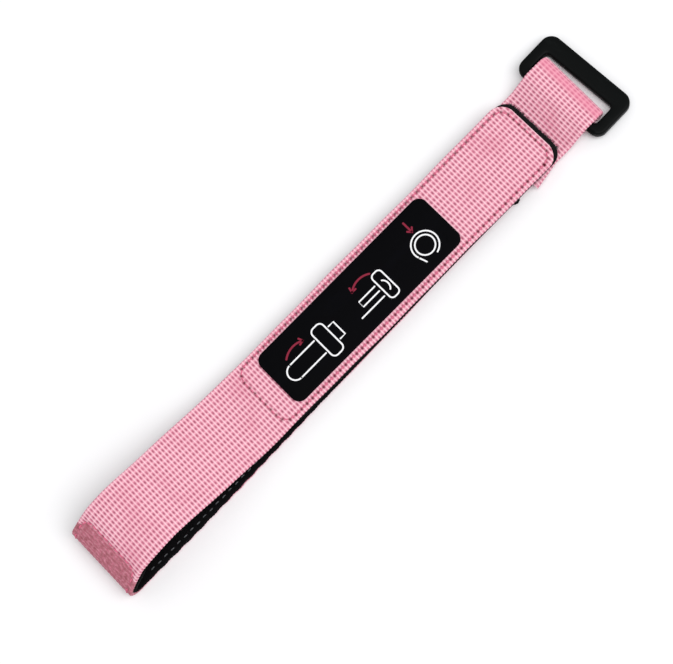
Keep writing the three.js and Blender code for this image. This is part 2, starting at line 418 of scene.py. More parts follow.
# The webbing's pinks. The bright one is a painted highlight on the rib tops. The deep one is partly
# painted shade in the gaps and partly a random tone. The hole colour is painted shade in the pits.
# The needle-hole colour is painted shade in the needle holes. The pressed colour is partly painted
# shade. The rose is painted shade on the nose face.
BRIGHT_PINK = srgb(247, 204, 214)
MID_PINK = srgb(214, 132, 155)
DEEP_PINK = srgb(198, 104, 130)
PIT_SHADE_PINK = srgb(150, 78, 98)
NEEDLE_HOLE_SHADE = srgb(92, 14, 36)
PRESSED_AND_SHADED_PINK = srgb(220, 124, 150)
NOSE_SHADE_ROSE = srgb(152, 82, 92)


def webbing_material():
    """Pale pink ribs with small dark holes between them, fine yarn and sewn-in dents. Much of the
    colour is painted light: a painted highlight on the rib tops, painted shade in the gaps, holes,
    needle holes and pressed bands, and on the nose face.
    """
    gloss = {"Sheen_Weight": 0.12, "Sheen_Roughness": 0.5, "Specular_IOR_Level": 0.25}
    made = Shader("webbing_pink", MID_PINK, 0.85, **gloss)
    made.surface.inputs["Sheen Tint"].default_value = srgb(255, 225, 232)
    uv = made.node("ShaderNodeUVMap", uv_map="weave").outputs[0]
    split = made.node("ShaderNodeSeparateXYZ", {0: uv})
    along, across = split.outputs[0], split.outputs[1]
    turn = 2 * math.pi
    rib = made.math("COSINE", made.math("MULTIPLY", along, turn))
    row = made.math("COSINE", made.math("MULTIPLY", across, turn))
    rib = made.math("MULTIPLY_ADD", rib, 0.5, 0.5)
    row = made.math("MULTIPLY_ADD", row, 0.5, 0.5)
    gap = made.math("SUBTRACT", 1.0, rib)
    pit = made.math("MULTIPLY", made.math("POWER", gap, 1.7), made.math("POWER", row, 1.2))
    yarn = made.noise(made.stretch(uv, (3.0, 14.0, 1.0)), 2.0)
    blotch = made.noise(made.stretch(uv, (0.10, 0.16, 1.0)), 1.0)
    speckle = made.noise(made.stretch(uv, (1.0, 1.0, 1.0)), 1.3, detail=1.0)
    # The rib tops, and the warp between the rows of holes, are painted lighter: a painted
    # highlight.
    crossing = made.math("MULTIPLY_ADD", row, -0.4, 1.0)
    light = made.math("MULTIPLY", made.math("POWER", rib, 1.8), crossing)
    warp = made.math("MULTIPLY", made.math("POWER", made.math("SUBTRACT", 1.0, row), 3.0), 0.5)
    light = made.math("MAXIMUM", light, warp)
    colour = made.mix(light, MID_PINK, BRIGHT_PINK)
    # The gaps between the ribs are darkened, broken up by the yarn: painted shade.
    fibre = made.excess(yarn, 0.42, 1.2)
    colour = made.mix(made.math("MULTIPLY", fibre, gap), colour, DEEP_PINK)
    # The holes between the ribs are painted dark: painted shade in them.
    depth = made.math("MULTIPLY_ADD", speckle, 2.0, -0.15, clamp=True)
    colour = made.mix(made.math("MULTIPLY", pit, depth), colour, PIT_SHADE_PINK)
    colour = made.mix(made.excess(blotch, 0.5, 1.3), colour, DEEP_PINK)
    # The pressed bands at the nose and at the eye fold take a deeper pink: partly the pressed
    # weave's own colour, partly painted shade where they bend away from the light.
    pressed = made.node("ShaderNodeAttribute", attribute_name="pressed").outputs["Fac"]
    colour = made.mix(made.math("MULTIPLY", pressed, 0.62), colour, PRESSED_AND_SHADED_PINK)
    # The nose face is darkened towards a rose, broken up by the yarn and speckle: painted shade.
    nose_painted_shade = made.node("ShaderNodeAttribute", attribute_name="nose_painted_shade").outputs["Fac"]
    nose_shade_amount = made.math("MULTIPLY_ADD", made.math("ADD", speckle, yarn), 1.5, -0.85, clamp=True)
    colour = made.mix(made.math("MULTIPLY", nose_painted_shade, nose_shade_amount), colour, NOSE_SHADE_ROSE)
    # The needle holes are painted dark: painted shade in them.
    needle = made.node("ShaderNodeAttribute", attribute_name="needle").outputs["Fac"]
    colour = made.mix(needle, colour, NEEDLE_HOLE_SHADE)
    made.link(colour, "Base Color")
    made.bump(made.math("ADD", yarn, made.math("MULTIPLY", pit, -0.6)), 0.35, 0.12)
    return made.material


def fibre_material(name, colour, light, roughness, sheen):
    """Dyed fibre: streaks of a lighter tone and a fine grain, in object space."""
    gloss = {"Sheen_Weight": sheen, "Sheen_Roughness": 0.4, "Specular_IOR_Level": 0.1}
    made = Shader(name, colour, roughness, **gloss)
    space = made.node("ShaderNodeTexCoord").outputs["Object"]
    grain = made.noise(space, 2600.0, detail=2.0)
    cloud = made.noise(space, 260.0)
    tone = made.excess(grain, 0.35, 1.4)
    colour = made.mix(made.math("MULTIPLY", tone, cloud), colour, light)
    made.link(colour, "Base Color")
    made.bump(grain, 0.4, 0.08)
    return made.material


def thread_material(name, colour, shade, roughness=0.6):
    """Twisted thread: slanting plies from the UV map along each stitch."""
    made = Shader(name, colour, roughness, Specular_IOR_Level=0.35)
    uv = made.node("ShaderNodeUVMap", uv_map="twist").outputs[0]
    split = made.node("ShaderNodeSeparateXYZ", {0: uv})
    slant = made.math("ADD", made.math("MULTIPLY", split.outputs[0], 34.0), split.outputs[1])
    ply = made.math("MULTIPLY_ADD", made.math("SINE", slant), 0.5, 0.5)
    made.link(made.mix(made.math("MULTIPLY", ply, 0.7), colour, shade), "Base Color")
    made.bump(ply, 0.5, 0.06)
    return made.material


def ring_material():
    """Moulded black plastic: fine spark-eroded grain, a few scuffs, and sharp edges lightened by a
    painted highlight.
    """
    made = Shader("ring_plastic", srgb(6, 8, 8), 0.42, Specular_IOR_Level=0.06)
    space = made.node("ShaderNodeTexCoord").outputs["Object"]
    grain = made.noise(space, 3400.0, detail=2.0)
    scuff = made.noise(made.stretch(space, (1.0, 0.25, 1.0)), 420.0)
    # Sharp edges are painted lighter, a painted highlight; the scuffs on top are wear.
    edge = made.node("ShaderNodeNewGeometry").outputs["Pointiness"]
    edge_highlight_and_scuff = made.excess(edge, 0.52, 2.5, clamp=True)
    edge_highlight_and_scuff = made.math("ADD", edge_highlight_and_scuff, made.math("SUBTRACT", scuff, 0.62, clamp=True), clamp=True)
    made.link(made.mix(edge_highlight_and_scuff, srgb(6, 8, 8), srgb(34, 39, 38)), "Base Color")
    made.link(made.math("MULTIPLY_ADD", grain, 0.25, 0.3), "Roughness")
    made.bump(grain, 0.25, 0.05)
    return made.material


def label_material():
    """Soft black patch with a pressed fine grain and faint handling marks."""
    made = Shader("label_black", srgb(4, 4, 7), 0.5, Specular_IOR_Level=0.03)
    space = made.node("ShaderNodeTexCoord").outputs["Object"]
    grain = made.noise(space, 2200.0)
    marks = made.noise(made.stretch(space, (1.0, 3.0, 1.0)), 90.0)
    tone = made.excess(marks, 0.5, 0.5)
    made.link(made.mix(tone, srgb(3, 3, 5), srgb(16, 17, 24)), "Base Color")
    made.link(made.math("MULTIPLY_ADD", marks, 0.3, 0.35), "Roughness")
    made.bump(grain, 0.3, 0.05)
    return made.material


def ink_material(name, colour, faded):
    """Screen-printed ink, a little uneven."""
    made = Shader(name, colour, 0.55, Specular_IOR_Level=0.2)
    space = made.node("ShaderNodeTexCoord").outputs["Object"]
    uneven = made.noise(space, 1500.0)
    made.link(made.mix(made.math("SUBTRACT", uneven, 0.4, clamp=True), colour, faded), "Base Color")
    made.bump(uneven, 0.2, 0.04)
    return made.material


MATERIALS = {
    "webbing": webbing_material(),
    "loop_tape": fibre_material("loop_pile", srgb(5, 5, 6), srgb(28, 28, 31), 0.95, 0.01),
    "hook_tape": fibre_material("hook_nylon", srgb(5, 5, 6), srgb(30, 30, 33), 0.6, 0.01),
    "fuzz": fibre_material("hook_fuzz", srgb(38, 38, 40), srgb(120, 118, 120), 0.7, 0.05),
    # The black thread is given a grey colour that stands in for its glints: partly a painted
    # highlight.
    "black_thread": thread_material("thread_black", srgb(92, 94, 98), srgb(34, 35, 38), 0.45),
    "pink_thread": thread_material("thread_pink", srgb(226, 120, 150), srgb(190, 78, 110)),
    "ring": ring_material(),
    "label": label_material(),
    "ink_white": ink_material("ink_white", srgb(236, 236, 238), srgb(196, 197, 202)),
    "ink_crimson": ink_material("ink_crimson", srgb(132, 26, 52), srgb(96, 16, 38)),
}


def finish_piece(obj, material):
    """Gives a piece its material, in the only slot it keeps."""
    obj.data.materials.clear()
    obj.data.materials.append(MATERIALS[material])
    return obj


# ---- Stitch paths ----

def along_path(path, pitch):
    """Points at an even pitch along a line of points, and how many there are."""
    path = np.asarray(path, float)
    steps = np.linalg.norm(np.diff(path, axis=0), axis=1)
    total = np.concatenate([[0], np.cumsum(steps)])
    count = max(2, round(total[-1] / pitch) + 1)
    wanted = np.linspace(0, total[-1], count)
    return np.stack([np.interp(wanted, total, path[:, i]) for i in range(path.shape[1])], -1)


def rounded_rectangle(x0, x1, half, radius, steps=8, low_radius=None):
    """A closed line round a rectangle with round corners. The corners at x0 may differ."""
    low_radius = low_radius or radius
    corners = [
        (x1, -half, radius, -90),
        (x1, half, radius, 0),
        (x0, half, low_radius, 90),
        (x0, -half, low_radius, 180),
    ]
    points = []
    for x, y, bend, start in corners:
        centre_x = x - math.copysign(bend, x - (x0 + x1) / 2)
        centre_y = y - math.copysign(bend, y)
        for angle in np.radians(np.linspace(start, start + 90, steps)):
            points.append((centre_x + bend * math.cos(angle), centre_y + bend * math.sin(angle)))
    points.append(points[0])
    return np.array(points)


SEAM_Y = HALF_WIDTH - STITCH_INSET
TAPE_END = CURL_END + RISE[0]
END_SEAM = TAPE_END - 1.2
SEAM_RADIUS = 3.0


def tip_seam():
    """Needle holes of the hook tape's seam, as distances along the run and places across."""
    x0 = low("hook_tape_seam")[0]
    x1 = high("hook_tape_seam")[0]
    path = rounded_rectangle(run_distance(x0), run_distance(x1), SEAM_Y, 3.6)
    return along_path(path, STITCH_PITCH)


def end_seam():
    """Needle holes of the seam that runs up both sides of the nose and across the tape's end."""
    side = [(LEG_CUT - 150, -SEAM_Y), (END_SEAM - SEAM_RADIUS, -SEAM_Y)]
    arc = np.radians(np.linspace(-90, 0, 7))
    corner = np.stack(
        [
            END_SEAM - SEAM_RADIUS + SEAM_RADIUS * np.cos(arc),
            -SEAM_Y + SEAM_RADIUS + SEAM_RADIUS * np.sin(arc),
        ],
        -1,
    )
    half = np.concatenate([side, corner, [(END_SEAM, 0)]])
    other = half[::-1] * np.array([1, -1])
    return along_path(np.concatenate([half, other[1:]]), STITCH_PITCH)


def eye_seam():
    """Needle holes of the box seam that closes the eye."""
    start = low("eye_seam")[0] - FOLD_BACK_START
    end = high("eye_seam")[0] - FOLD_BACK_START
    return along_path(rounded_rectangle(start, end, SEAM_Y, 1.0), STITCH_PITCH)


TIP_SEAM = tip_seam()
END_SEAM_HOLES = end_seam()
EYE_SEAM = eye_seam()


# ---- Webbing ----

def section(step, half, thickness):
    """The outline of a webbing section: places across, depths, and which way is out."""
    edge = thickness / 2
    flat = half - edge
    count = max(8, round(2 * flat / step))
    across = np.linspace(-flat, flat, count + 1)
    turn = np.linspace(-90, 90, 7)[1:-1]
    rim_y = flat + edge * np.cos(np.radians(turn))
    rim_depth = edge + edge * np.sin(np.radians(turn))
    y = np.concatenate([across, rim_y, across[::-1], -rim_y[::-1]])
    depth = np.concatenate(
        [np.zeros(count + 1), rim_depth, np.full(count + 1, thickness), rim_depth[::-1]]
    )
    out = np.concatenate(
        [
            np.full(count + 1, -1.0),
            np.sin(np.radians(turn)),
            np.full(count + 1, 1.0),
            np.sin(np.radians(turn[::-1])),
        ]
    )
    return y, depth, out


def grid(start, end, fine, step, half, thickness):
    """A length of webbing or tape as distances, places across, depths and ways out."""
    s = np.linspace(start, end, round((end - start) / fine) + 1)[:, None]
    parts = np.broadcast_arrays(s, *section(step, half, thickness))
    return [part.copy() for part in parts]


def weave(s, y):
    """How far the weave stands below its highest point."""
    rib = 0.5 + 0.5 * np.cos(2 * math.pi * s / RIB_PITCH)
    row = 0.5 + 0.5 * np.cos(2 * math.pi * y / ROW_PITCH)
    pit = ((1 - rib) * row) ** 1.4
    return RIB_HEIGHT * (1 - rib) + PIT_DEPTH * pit


def pressed_flat(s, y):
    """Where the weave is pressed smooth: over the sewn tape end at the nose, and in the eye. The
    nose mask also sets where the nose face takes painted shade, and both masks set where the
    pressed colour is partly painted shade.
    """
    corner = np.maximum(np.abs(y) - (SEAM_Y - SEAM_RADIUS), 0)
    edge = END_SEAM - SEAM_RADIUS + np.sqrt(np.maximum(SEAM_RADIUS**2 - corner**2, 0))
    nose = np.clip((s - CURL_START + 3) / 4, 0, 1) * np.clip((edge - s) / 0.8, 0, 1)
    middle = EYE_FOLD + 1.2
    eye = np.exp(-(((s - middle) / 1.9) ** 4))
    return nose, eye


def half_width_at(s):
    """Half the webbing's width, less where the tip's corners are rounded."""
    past = np.clip(s - (RUN.length - TIP_RADIUS), 0, TIP_RADIUS)
    return HALF_WIDTH - (TIP_RADIUS - np.sqrt(np.maximum(TIP_RADIUS**2 - past**2, 0)))


def webbing_piece(name, start, end, fine, holes, hole_shade):
    """A length of webbing with its ribs, holes and needle dents as real relief."""
    along, y, depth, out = grid(start, end, fine, ROW_PITCH / 7, HALF_WIDTH, WEBBING_THICKNESS)
    outer_part = HALF_WIDTH - TIP_RADIUS
    beyond = np.maximum(np.abs(y) - outer_part, 0) / TIP_RADIUS
    reach = beyond * (half_width_at(along) - outer_part)
    y = np.sign(y) * (np.minimum(np.abs(y), outer_part) + reach)
    nose, eye = pressed_flat(along, y)
    pressed = np.where(out < 0, np.maximum(nose, eye), 0)
    grooves = GROOVE_DEPTH * (0.5 + 0.5 * np.cos(2 * math.pi * y / GROOVE_PITCH)) * nose
    below = weave(along, y) * (1 - 0.45 * pressed) + grooves
    face = np.abs(out)
    depth -= out * below * np.where(face > 0.99, 1, 0.5 * face)
    rim = 1 - face
    loops = 0.5 + 0.5 * np.cos(2 * math.pi * along / RIB_PITCH)
    # The edges are scalloped by the ribs and wander slowly from straight.
    wander = 0.10 * np.sin(along / 9.0) + 0.06 * np.sin(along / 3.7 + 1.0)
    wander = wander * (np.abs(y) > HALF_WIDTH - EDGE_BAND)
    y = y + np.sign(y) * (wander - rim * EDGE_SCALLOP * (1 - loops))
    needle = np.zeros(y.shape)
    for hole_s, hole_y in holes:
        if not start - 1 < hole_s < end + 1:
            continue
        rows = np.abs(along[:, 0] - hole_s) < DENT_REACH
        away = (along[rows] - hole_s) ** 2 + (y[rows] - hole_y) ** 2
        outside = out[rows] < -0.5
        depth[rows] += np.where(outside, DENT_DEPTH * np.exp(-away / DENT_SPREAD), 0)
        needle[rows] += np.where(outside, hole_shade * np.exp(-away / HOLE_SPREAD), 0)
    points = RUN.place(along, y, depth)
    obj = make_object(name, points, tube_faces(*y.shape))
    give_uv(obj, "weave", np.stack([along / RIB_PITCH, y / ROW_PITCH], -1).reshape(-1, 2))
    # Where the needle holes take painted shade in the material.
    give_value(obj, "needle", np.clip(needle, 0, 1).ravel())
    # The pressed bands, whose colour in the material is partly painted shade.
    give_value(obj, "pressed", pressed.ravel())
    # Where the nose face takes painted shade in the material.
    give_value(obj, "nose_painted_shade", np.where(out < 0.5, nose, 0).ravel())
    return finish_piece(obj, "webbing")


def run_point(s, depth):
    return tuple((RUN.place(np.array(s), 0.0, depth) * MM).tolist())


BEND_DEPTH = WEBBING_THICKNESS / 2
BLENDS = {
    "fold_bend": (
        "root",
        "nose",
        run_point(CURL_START - 0.3, BEND_DEPTH),
        run_point(CURL_END + 0.3, BEND_DEPTH),
    ),
    "crown_bend": (
        "nose",
        "slope",
        run_point(NOSE_CUT + 0.6, BEND_DEPTH),
        run_point(RUN.end_of("crown"), BEND_DEPTH),
    ),
    "landing_bend": (
        "slope",
        "landing",
        run_point(RUN.start_of("landing") + 1, 0),
        run_point(LANDING_CUT - 0.3, 0),
    ),
    "peel_bend": (
        "landing",
        "tip",
        run_point(TIP_START - 1.9, 0),
        run_point(TIP_START + 1.9, 0),
    ),
}


def attach(obj, motion, *nodes):
    """Bakes a piece's placing into its points when its motion is one of the bends, or rides it on a
    body, and hides the CAD nodes it stands for.
    """
    if motion in BLENDS:
        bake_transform(obj)
    else:
        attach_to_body(obj, motion)
    if nodes:
        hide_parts(*nodes)


def build_webbing():
    """The webbing in stretches: name, start, end, fineness, needle holes, motion and CAD nodes."""
    end_piece = RUN.length - 55
    seam = END_SEAM_HOLES
    on_slope = ("webbing_slope", "webbing_landing")
    pieces = [
        ("eye", 0, EYE_CUT, 0.2, EYE_SEAM, "root", "webbing_eye"),
        ("leg", EYE_CUT, LEG_CUT, 0.295, seam, "root", "webbing_lower"),
        ("fold", LEG_CUT, NOSE_CUT, 0.17, seam, "fold_bend", "webbing_curl"),
        ("crown", NOSE_CUT, SLOPE_CUT, 0.17, seam, "crown_bend", "webbing_nose"),
        ("slope", SLOPE_CUT, LANDING_CUT, 0.17, (), "landing_bend", *on_slope),
        ("tip", LANDING_CUT, end_piece, 0.2, TIP_SEAM, "peel_bend"),
        ("end", end_piece, RUN.length - 0.02, 0.17, TIP_SEAM, "tip", "webbing_tip"),
    ]
    for name, start, end, fine, holes, motion, *nodes in pieces:
        hole_shade = 0.35 if name in ("fold", "crown") else 1.0
        piece = webbing_piece(f"webbing_{name}_woven", start, end, fine, holes, hole_shade)
        attach(piece, motion, *nodes)


# ---- Loop tape ----

LOOP_DEPTH = WEBBING_THICKNESS + TAPE_GAP      # of its face on the webbing
PILE_HEIGHT = 0.42
FILAMENT_RADIUS = 0.045
LUMP_HEIGHT = 0.12
SNAG_AT = leg_distance(NOSE + 163)             # a snagged tuft at the near edge
SNAG_REACH = 1.05


def tape_base(name, start, end, outer, inner, half):
    """The loop tape's woven ground, a little lumpy on its inner face."""
    along, y, depth, out = grid(start, end, 0.4, 0.5, half, inner - outer)
    depth = depth + outer
    lumps = 0.5 + 0.25 * np.sin(along * 5.3 + 2 * np.sin(y * 2.1))
    lumps = lumps + 0.25 * np.sin(y * 6.1 + 2 * np.sin(along * 1.7))
    depth = depth - np.where(out > 0.99, LUMP_HEIGHT * lumps, 0)
    y = y + np.sign(y) * (1 - np.abs(out)) * 0.08 * np.sin(along * 2 * math.pi / 1.1)
    snag = np.exp(-(((along - SNAG_AT) / 1.3) ** 4))
    y = y - SNAG_REACH * snag * np.clip(0.5 - y / (2 * half), 0, 1) ** 4
    obj = make_object(name, RUN.place(along, y, depth), tube_faces(*y.shape))
    return finish_piece(obj, "loop_tape")


def pile(name, start, end, half, depth, per_mm2, seed):
    """A pile of small loops, each an arch of filament that leans its own way."""
    random = np.random.default_rng(seed)
    count = int((end - start) * 2 * half * per_mm2)
    s = random.uniform(start, end, count)
    y = random.uniform(-half, half, count)
    lean = random.uniform(0, 2 * math.pi, count)
    span = random.uniform(0.25, 0.5, count)
    rise = random.uniform(0.6, 1.0, count) * PILE_HEIGHT
    t = np.linspace(0, 1, 6)
    reach = (t[None] - 0.5) * span[:, None]
    height = np.sin(math.pi * t)[None] * rise[:, None]
    along = s[:, None] + reach * np.cos(lean)[:, None] + 0.3 * height * np.sin(lean * 3)[:, None]
    across = y[:, None] + reach * np.sin(lean)[:, None] + 0.3 * height * np.cos(lean * 5)[:, None]
    along = np.clip(along, start, end)
    centres = RUN.place(along, across, depth + height)
    points, faces = tubes(centres, FILAMENT_RADIUS, 3)
    return finish_piece(make_object(name, points, faces), "loop_tape")


def build_loop_tape():
    """The loop tape's ground and its pile, which is thinner where the hook tape covers it."""
    start = leg_distance(high("loop_tape_lower")[0])
    middle = leg_distance(NOSE + 75)
    ground = LOOP_TOP - 0.25
    half = LOOP_HALF_WIDTH
    stretches = [
        ("leg", start, LEG_CUT, "root", "loop_tape_lower"),
        ("fold", LEG_CUT, NOSE_CUT, "fold_bend", "loop_tape_curl"),
        ("rise", NOSE_CUT, TAPE_END, "crown_bend", "loop_tape_nose"),
    ]
    for name, begin, end, motion, node in stretches:
        base = tape_base(f"loop_tape_{name}_ground", begin, end, LOOP_DEPTH, ground, half)
        attach(base, motion, node)
    piles = [
        ("leg_covered", start, middle, 1.1, "root"),
        ("leg_open", middle, LEG_CUT, 2.2, "root"),
        ("fold", LEG_CUT, NOSE_CUT, 2.0, "fold_bend"),
        ("rise", NOSE_CUT, TAPE_END, 2.2, "crown_bend"),
    ]
    for seed, (name, begin, end, density, motion) in enumerate(piles):
        loops = pile(f"pile_{name}", begin, end, half - 0.25, ground - LUMP_HEIGHT, density, seed)
        attach(loops, motion)


# ---- Hook tape ----

HOOK_PITCH = (1.15, 0.95)         # along and across
HOOK_STEM = 0.294
HOOK_BEND = 0.17
HOOK_RADIUS = 0.065
HOOK_CORNER = 4.6
FUZZ_COUNT = 420
FUZZ_RADIUS = 0.05


def hook_tape_ground():
    """The hook tape's ground: a flat strip with round corners that peeks out past the tip."""
    start, end = low("hook_tape"), high("hook_tape")
    outline = rounded_rectangle(start[0], end[0], end[1] - 0.2, HOOK_CORNER, 10)[:-1]
    centre = outline.mean(axis=0)
    # Each level is a height and how far its outline is drawn in.
    levels = [
        (HOOK_BOTTOM + 0.5, 0.06),
        (HOOK_BOTTOM + 0.62, 0.0),
        (HOOK_TOP - 0.12, 0.0),
        (HOOK_TOP, 0.08),
    ]
    rings = []
    for z, inset in levels:
        away = outline - centre
        ring = outline - np.sign(away) * inset
        rings.append(np.column_stack([ring, np.full(len(ring), z)]))
    faces = tube_faces(len(levels), len(outline))
    obj = make_object("hook_tape_ground", np.concatenate(rings), faces, smooth=False)
    return finish_piece(obj, "hook_tape")


def hook_field():
    """Rows of small nylon hooks that stand down from the hook tape."""
    start, end = low("hook_tape"), high("hook_tape")
    x = np.arange(start[0] + 0.8, end[0] - 0.5, HOOK_PITCH[0])
    y = np.arange(-end[1] + 0.7, end[1] - 0.6, HOOK_PITCH[1])
    grid_x, grid_y = np.meshgrid(x, y, indexing="ij")
    grid_x = grid_x + 0.3 * (np.arange(len(y)) % 2)[None]
    past = np.clip(grid_x - (end[0] - TIP_RADIUS), 0, TIP_RADIUS)
    room = end[1] - 0.5 - (TIP_RADIUS - np.sqrt(TIP_RADIUS**2 - past**2))
    keep = (np.abs(grid_y) < room).ravel()
    base = np.stack([grid_x.ravel(), grid_y.ravel()], -1)[keep]
    way = np.where(np.arange(len(base)) % 2 == 0, 1.0, -1.0)
    angle = np.linspace(0, 1.25 * math.pi, 6)
    dx = np.concatenate([[0, 0], HOOK_BEND * (1 - np.cos(angle[1:]))])
    dz = np.concatenate([[0, -HOOK_STEM], -HOOK_STEM - HOOK_BEND * np.sin(angle[1:])])
    centres = np.zeros((len(base), len(dx), 3))
    centres[..., 0] = base[:, :1] + dx[None] * way[:, None]
    centres[..., 1] = base[:, 1:]
    centres[..., 2] = HOOK_BOTTOM + 0.52 + dz[None]
    points, faces = tubes(centres, HOOK_RADIUS, 4)
    return finish_piece(make_object("hook_field", points, faces), "hook_tape")


def edge_fuzz():
    """Loose filaments that stand out of the hook tape's cut end, beyond the tip."""
    random = np.random.default_rng(7)
    end = high("hook_tape")
    y = random.uniform(-end[1] + 2.5, end[1] - 2.5, FUZZ_COUNT)
    past = np.maximum(np.abs(y) - (end[1] - HOOK_CORNER), 0)
    edge = end[0] - HOOK_CORNER + np.sqrt(np.maximum(HOOK_CORNER**2 - past**2, 0))
    x = edge - random.uniform(0.1, 0.5, FUZZ_COUNT)
    lean = random.uniform(-1.1, 1.1, FUZZ_COUNT)
    length = random.uniform(0.3, 0.95, FUZZ_COUNT)
    t = np.linspace(0, 1, 4)
    centres = np.zeros((FUZZ_COUNT, len(t), 3))
    centres[..., 0] = x[:, None] + t * (length * np.cos(lean))[:, None]
    centres[..., 1] = y[:, None] + t * (length * np.sin(lean))[:, None]
    rise = random.uniform(-0.3, 0.35, FUZZ_COUNT)
    centres[..., 2] = HOOK_TOP - 0.15 + rise[:, None] * t**2
    points, faces = tubes(centres, FUZZ_RADIUS, 3)
    return finish_piece(make_object("hook_tape_fuzz", points, faces), "fuzz")


def build_hook_tape():
    """The hook tape under the free leg: its ground, its hooks and its frayed end."""
    attach(hook_tape_ground(), "tip", "hook_tape")
    attach(edge_fuzz(), "tip")
    attach(hook_field(), "tip")


# ---- Stitches ----

def stitches(name, holes, surface, material, cover=0.34, lift=0.10):
    """Stitches of thread from hole to hole. surface gives a point for a hole and a height."""
    begin, end = holes[:-1], holes[1:]
    t = np.linspace(0.5 - cover, 0.5 + cover, 9)
    arch = lift - (lift + 0.42) * np.abs((t - 0.5) / cover) ** 4
    places = begin[:, None] + (end - begin)[:, None] * t[None, :, None]
    centres = surface(places[..., 0], places[..., 1], np.broadcast_to(arch, places.shape[:2]))
    thick = THREAD_RADIUS * (1 - 0.25 * np.abs((t - 0.5) / cover) ** 3)
    sides = 8
    points, faces = tubes(centres, thick[None], sides)
    obj = make_object(name, points, faces)
    around = np.linspace(0, 2 * math.pi, sides, endpoint=False)
    twist = np.stack(np.meshgrid(t, around, indexing="ij"), -1).reshape(-1, 2)
    give_uv(obj, "twist", np.tile(twist, (len(begin), 1)))
    return finish_piece(obj, material)


def outer_face(s, y, height):
    """Points over the webbing's outer face, just below the tops of its ribs."""
    return RUN.place(s, y, 0.08 - height)


def tape_face(s, y, height):
    """Points over the loop tape's inner face."""
    return RUN.place(s, y, LOOP_TOP - 0.2 + height)


def between(holes, start, end):
    """The needle holes that a stretch of the run holds."""
    return holes[(holes[:, 0] >= start - 0.01) & (holes[:, 0] <= end + 0.01)]


def build_stitches():
    """The thread of every seam, cut where its seam crosses from body to body."""
    pink = (outer_face, "pink_thread")
    attach(stitches("tip_seam_stitches", TIP_SEAM, *pink), "tip", "hook_tape_seam")
    attach(stitches("eye_seam_stitches", EYE_SEAM, *pink), "root", "eye_seam")
    tape_start = leg_distance(high("loop_tape_seam_far")[0])
    for side, sign in (("near", -1), ("far", 1)):
        holes = END_SEAM_HOLES[sign * END_SEAM_HOLES[:, 1] > 0]
        fold_holes = between(holes, LEG_CUT, NOSE_CUT + 1)
        leg_holes = between(holes, EYE_CUT - 30, LEG_CUT + 2)
        y = low(f"loop_tape_seam_{side}")[1] + 0.25
        tape_holes = along_path([(tape_start, y), (LEG_CUT + 3, y)], BLACK_STITCH_PITCH)
        fold = stitches(f"fold_seam_{side}", fold_holes, *pink)
        attach(fold, "fold_bend", f"nose_seam_{side}")
        attach(stitches(f"leg_seam_{side}", leg_holes, *pink, lift=-0.06), "root")
        tape = stitches(f"tape_seam_{side}", tape_holes, tape_face, "black_thread", cover=0.27)
        attach(tape, "root", f"loop_tape_seam_{side}")
    across = between(END_SEAM_HOLES, NOSE_CUT + 0.5, TAPE_END)
    attach(stitches("loop_end_stitches", across, *pink), "crown_bend", "loop_tape_end_seam")


# ---- Ring ----

# The ring's plan, in millimetres from the axis of its round bar.
RING_NEAR_EDGE, RING_FAR_EDGE = -1.45, 14.6
RING_NEAR_INNER, RING_FAR_INNER = 1.45, 8.8
RING_HALF, RING_INNER_HALF = 16.75, 13.0
RING_CORNERS = (3.4, 3.6)           # outer corners, by the bar and by the far edge
RING_INNER_CORNERS = (1.1, 1.3)
RING_MIDDLE = 6.4                   # the outer points are put in order of angle round it,
RING_REACH = 8.1                    # measured in shares of this length and of the half width
RING_INNER_REACH = 3.7
RING_THICKNESS = 3.0
RING_FAR_DROP = 0.6                 # how far inside the far edge the ring touches the ground
RING_POINTS = 240                   # sections round the ring
SECTION_POINTS = 28
ROUND_POWER, SQUARE_POWER = 2.0, 5.0
SQUARING_LENGTH = 0.4               # where the round bar turns square at its ends


def outline_points(x0, x1, half, corners, centre_x, reach_x):
    """Points spread evenly round a ring outline, in order of angle from centre_x."""
    line = rounded_rectangle(x0, x1, half, corners[1], 16, low_radius=corners[0])
    perimeter = np.linalg.norm(np.diff(line, axis=0), axis=1).sum()
    points = along_path(line, perimeter / RING_POINTS)[:-1]
    angle = np.arctan2(points[:, 1] / half, (points[:, 0] - centre_x) / reach_x)
    return points[np.argsort(angle)]


